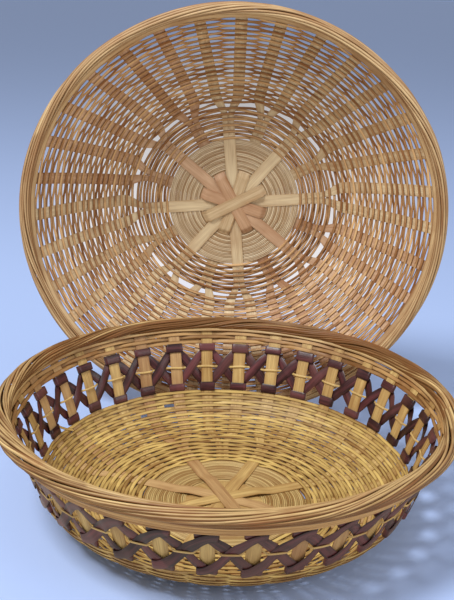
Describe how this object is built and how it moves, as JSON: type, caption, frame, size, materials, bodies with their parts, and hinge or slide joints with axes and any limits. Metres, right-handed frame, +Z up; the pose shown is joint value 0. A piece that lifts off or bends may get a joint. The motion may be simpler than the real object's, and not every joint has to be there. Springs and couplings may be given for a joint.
{
  "type": "lidded wicker basket",
  "caption": "Round woven splint basket with an openwork dyed band in its wall, and a wider shallow woven dish as its lid, here standing on edge behind it.",
  "frame": {"origin": "middle of the basket's flat underside", "axes": "+Z up, the front looks along -Y, and the lid stands behind the basket at +Y"},
  "size_m": [0.2594, 0.2768, 0.2597],
  "materials": {
    "bamboo": "satin",
    "pale_splint": "satin",
    "dyed_splint": "satin",
    "lid_bamboo": "satin",
    "lid_splint": "satin"
  },
  "bodies": {
    "basket": {"base_disc": "bamboo", "base_splint_1": "pale_splint", "base_splint_2": "pale_splint", "base_splint_3": "pale_splint", "base_splint_4": "pale_splint", "base_splint_5": "pale_splint", "base_splint_6": "pale_splint", "base_splint_7": "pale_splint", "base_splint_8": "pale_splint", "base_weave": "bamboo", "lower_weave": "bamboo", "upper_weave": "bamboo", "band_splint_a": "dyed_splint", "band_splint_b": "dyed_splint", "band_tie_strand": "pale_splint", "rim_outer_hoop": "bamboo", "rim_inner_hoop": "bamboo", "rim_border": "bamboo"},
    "lid": {"lid_base_disc": "lid_bamboo", "lid_splint_1": "lid_splint", "lid_splint_2": "lid_splint", "lid_splint_3": "lid_splint", "lid_splint_4": "lid_splint", "lid_splint_5": "lid_splint", "lid_splint_6": "lid_splint", "lid_splint_7": "lid_splint", "lid_splint_8": "lid_splint", "lid_floor_weave": "lid_bamboo", "lid_rim_inner_hoop": "lid_bamboo", "lid_rim_border": "lid_bamboo", "lid_weaver_1": "lid_bamboo", "lid_weaver_2": "lid_bamboo", "lid_weaver_3": "lid_bamboo", "lid_weaver_4": "lid_bamboo", "lid_weaver_5": "lid_bamboo", "lid_weaver_6": "lid_bamboo", "lid_weaver_7": "lid_bamboo", "lid_weaver_8": "lid_bamboo", "lid_weaver_9": "lid_bamboo", "lid_weaver_10": "lid_bamboo", "lid_weaver_11": "lid_bamboo", "lid_weaver_12": "lid_bamboo", "lid_weaver_13": "lid_bamboo", "lid_weaver_14": "lid_bamboo", "lid_weaver_15": "lid_bamboo", "lid_weaver_16": "lid_bamboo", "lid_weaver_17": "lid_bamboo", "lid_weaver_18": "lid_bamboo", "lid_weaver_19": "lid_bamboo"}
  },
  "joints": [
    {"name": "lid_swing", "type": "hinge", "parent": "basket", "child": "lid", "pos_m": [0, 0.08905, 0.03988], "axis": [1, 0, 0], "range_deg": [0, 86]}
  ]
}
